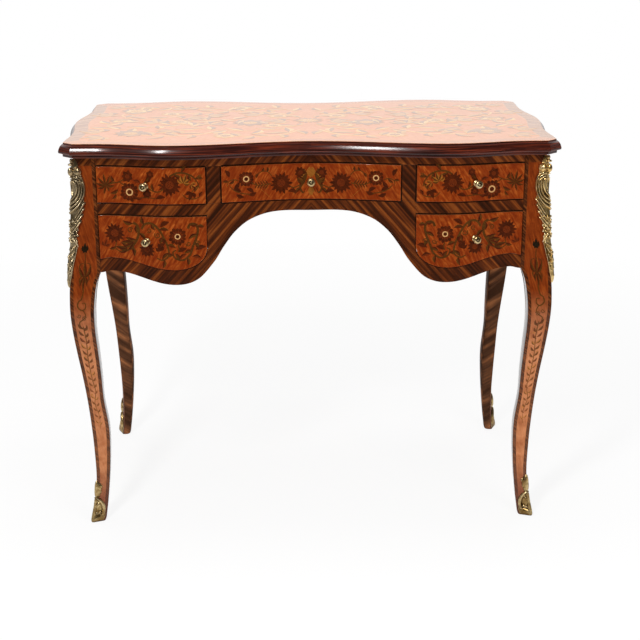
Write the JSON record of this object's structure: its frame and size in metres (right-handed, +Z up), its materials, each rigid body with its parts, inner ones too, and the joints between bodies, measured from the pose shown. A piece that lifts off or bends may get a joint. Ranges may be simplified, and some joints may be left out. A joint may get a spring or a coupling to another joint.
{
  "type": "writing desk",
  "caption": "Serpentine kneehole writing desk on cabriole legs, with marquetry drawers that slide out, a moulded top edge and bronze corner and foot mounts.",
  "frame": {"origin": "on the floor, under the middle of the top", "axes": "+X along the desk to the sitter's right as seen from the front, +Y from the sitter to the back, +Z up"},
  "size_m": [0.9796, 0.6036, 0.79],
  "materials": {
    "tulipwood_veneer": "glossy orange veneer with floral marquetry",
    "kingwood_veneer": "glossy dark striped crossbanding",
    "mahogany_moulding": "high gloss dark red-brown",
    "drawer_lining": "plain waxed secondary wood",
    "gilt_bronze": "cast and gilded, patinated in the hollows"
  },
  "bodies": {
    "carcase": {"top_board": "tulipwood_veneer", "top_moulding": "mahogany_moulding", "leg_front_left": "tulipwood_veneer", "leg_front_right": "tulipwood_veneer", "leg_back_left": "tulipwood_veneer", "leg_back_right": "tulipwood_veneer", "front_top_rail": "kingwood_veneer", "front_divider_left": "kingwood_veneer", "front_divider_right": "kingwood_veneer", "mid_rail_left": "kingwood_veneer", "mid_rail_right": "kingwood_veneer", "front_apron": "kingwood_veneer", "back_panel": "kingwood_veneer", "end_panel_left": "kingwood_veneer", "end_panel_right": "kingwood_veneer", "partition_left": "drawer_lining", "partition_right": "drawer_lining", "drawer_shelf_left": "drawer_lining", "drawer_shelf_right": "drawer_lining", "pedestal_floor_left": "drawer_lining", "pedestal_floor_right": "drawer_lining", "kneehole_soffit": "drawer_lining", "corner_mount_front_left": "gilt_bronze", "corner_mount_front_right": "gilt_bronze", "corner_mount_back_left": "gilt_bronze", "corner_mount_back_right": "gilt_bronze", "sabot_front_left": "gilt_bronze", "sabot_front_right": "gilt_bronze", "sabot_back_left": "gilt_bronze", "sabot_back_right": "gilt_bronze"},
    "middle_drawer": {"middle_drawer_front": "tulipwood_veneer", "middle_drawer_side_left": "drawer_lining", "middle_drawer_side_right": "drawer_lining", "middle_drawer_back": "drawer_lining", "middle_drawer_bottom": "drawer_lining", "middle_drawer_knob": "gilt_bronze"},
    "upper_left_drawer": {"upper_left_drawer_front": "tulipwood_veneer", "upper_left_drawer_side_left": "drawer_lining", "upper_left_drawer_side_right": "drawer_lining", "upper_left_drawer_back": "drawer_lining", "upper_left_drawer_bottom": "drawer_lining", "upper_left_drawer_knob": "gilt_bronze"},
    "lower_left_drawer": {"lower_left_drawer_front": "tulipwood_veneer", "lower_left_drawer_side_left": "drawer_lining", "lower_left_drawer_side_right": "drawer_lining", "lower_left_drawer_back": "drawer_lining", "lower_left_drawer_bottom": "drawer_lining", "lower_left_drawer_knob": "gilt_bronze"},
    "upper_right_drawer": {"upper_right_drawer_front": "tulipwood_veneer", "upper_right_drawer_side_left": "drawer_lining", "upper_right_drawer_side_right": "drawer_lining", "upper_right_drawer_back": "drawer_lining", "upper_right_drawer_bottom": "drawer_lining", "upper_right_drawer_knob": "gilt_bronze"},
    "lower_right_drawer": {"lower_right_drawer_front": "tulipwood_veneer", "lower_right_drawer_side_left": "drawer_lining", "lower_right_drawer_side_right": "drawer_lining", "lower_right_drawer_back": "drawer_lining", "lower_right_drawer_bottom": "drawer_lining", "lower_right_drawer_knob": "gilt_bronze"}
  },
  "joints": [
    {"name": "middle_drawer_slide", "type": "slide", "parent": "carcase", "child": "middle_drawer", "axis": [0, -1, 0], "range_m": [0, 0.28]},
    {"name": "upper_left_drawer_slide", "type": "slide", "parent": "carcase", "child": "upper_left_drawer", "axis": [0, -1, 0], "range_m": [0, 0.32]},
    {"name": "lower_left_drawer_slide", "type": "slide", "parent": "carcase", "child": "lower_left_drawer", "axis": [0, -1, 0], "range_m": [0, 0.32]},
    {"name": "upper_right_drawer_slide", "type": "slide", "parent": "carcase", "child": "upper_right_drawer", "axis": [0, -1, 0], "range_m": [0, 0.32]},
    {"name": "lower_right_drawer_slide", "type": "slide", "parent": "carcase", "child": "lower_right_drawer", "axis": [0, -1, 0], "range_m": [0, 0.32]}
  ]
}
